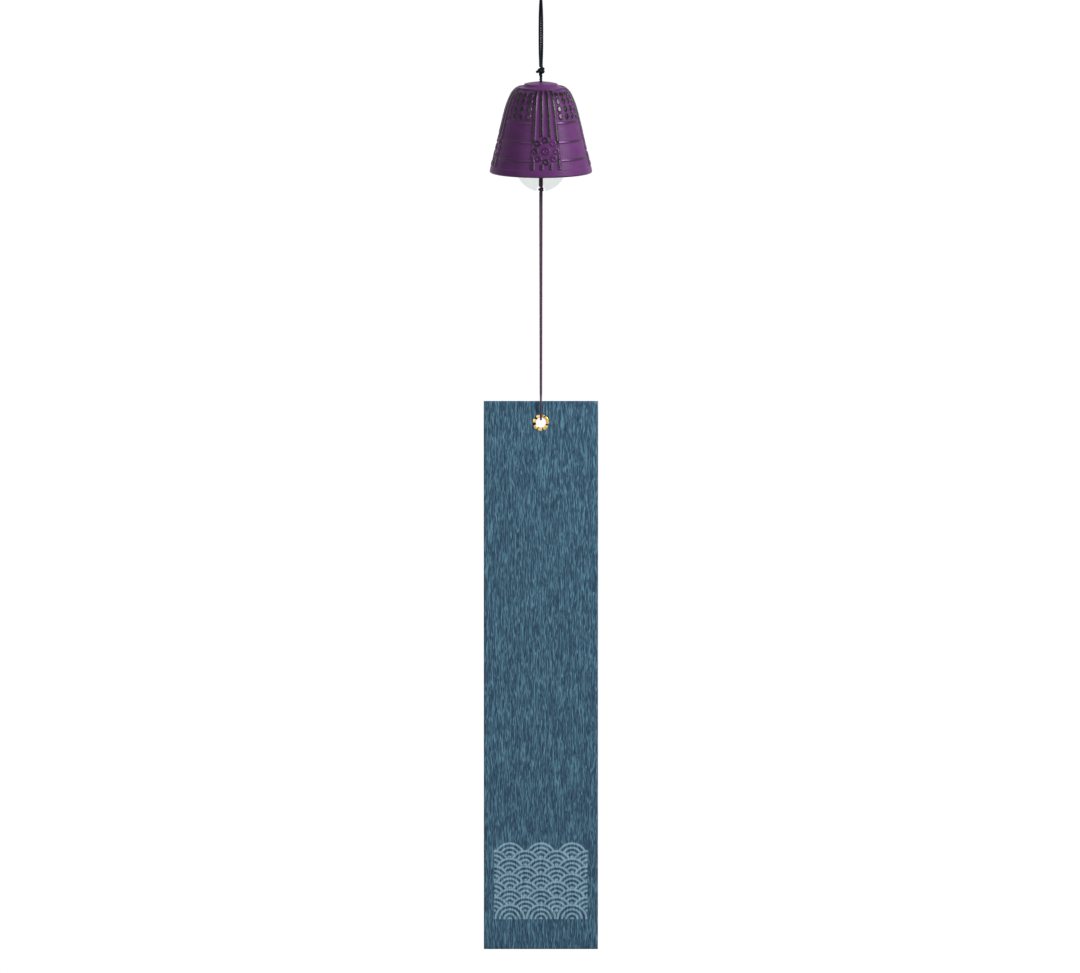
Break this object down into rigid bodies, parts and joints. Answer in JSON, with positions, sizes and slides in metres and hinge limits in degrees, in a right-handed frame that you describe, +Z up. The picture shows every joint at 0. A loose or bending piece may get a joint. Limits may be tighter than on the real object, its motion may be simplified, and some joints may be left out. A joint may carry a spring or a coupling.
{
  "type": "furin wind bell",
  "caption": "Hanging wind bell: a temple-bell shaped iron casting with raised relief, a clear disc clapper and a long paper strip, joined by knotted cords.",
  "frame": {"origin": "the point on the inside of the top loop that bears on its hook", "axes": "+Z up along the hanging line, -Y to the front (the strip's printed face), +X to the right seen from the front"},
  "size_m": [0.0572, 0.0512, 0.4929],
  "materials": {
    "painted_iron": "satin",
    "black_cord": "matte",
    "brown_cord": "matte",
    "clear_plastic": "gloss",
    "brass": "satin",
    "paper": "matte"
  },
  "bodies": {
    "hanger": {"hanging_loop": "black_cord"},
    "hanging_knot": {"hanging_knot": "black_cord"},
    "crown_cord": {"crown_cord": "black_cord"},
    "bell": {"bell": "painted_iron", "stop_washer": "brass", "stop_knot": "black_cord"},
    "clapper_hitch": {"clapper_hitch": "black_cord"},
    "clapper": {"clapper_cord": "black_cord", "clapper_disc": "clear_plastic", "strip_tie": "black_cord"},
    "strip_hitch": {"strip_hitch": "brown_cord"},
    "strip_cord": {"strip_cord": "brown_cord"},
    "strip_cord_end": {"strip_cord_end": "brown_cord"},
    "strip": {"eyelet_loop": "brown_cord", "eyelet": "brass", "paper_strip": "paper"}
  },
  "joints": [
    {"name": "bell_turn", "type": "hinge", "parent": "hanger", "child": "hanging_knot", "pos_m": [0, 0, -0.0469], "axis": [0, 0, 1], "range_deg": [-180, 180]},
    {"name": "bell_swing_side", "type": "hinge", "parent": "hanging_knot", "child": "crown_cord", "pos_m": [0, 0, -0.05115], "axis": [0, 1, 0], "range_deg": [-30, 30]},
    {"name": "bell_swing_fore", "type": "hinge", "parent": "crown_cord", "child": "bell", "pos_m": [0, 0, -0.05415], "axis": [1, 0, 0], "range_deg": [-30, 30]},
    {"name": "clapper_turn", "type": "hinge", "parent": "bell", "child": "clapper_hitch", "pos_m": [0, 0, -0.0644], "axis": [0, 0, 1], "continuous": true},
    {"name": "clapper_swing", "type": "hinge", "parent": "clapper_hitch", "child": "clapper", "pos_m": [0, 0, -0.0644], "axis": [0, 1, 0], "range_deg": [-15, 15]},
    {"name": "strip_swing_side", "type": "hinge", "parent": "clapper", "child": "strip_hitch", "pos_m": [0, 0, -0.10807], "axis": [0, 1, 0], "range_deg": [-40, 40]},
    {"name": "strip_swing_fore", "type": "hinge", "parent": "strip_hitch", "child": "strip_cord", "pos_m": [0, 0, -0.10807], "axis": [1, 0, 0], "range_deg": [-60, 60]},
    {"name": "strip_turn", "type": "hinge", "parent": "strip_cord", "child": "strip_cord_end", "pos_m": [0, 0, -0.20217], "axis": [0, 0, 1], "range_deg": [-180, 180]},
    {"name": "strip_flap", "type": "hinge", "parent": "strip_cord_end", "child": "strip", "pos_m": [0, 0, -0.21067], "axis": [1, 0, 0], "range_deg": [-60, 60]}
  ]
}
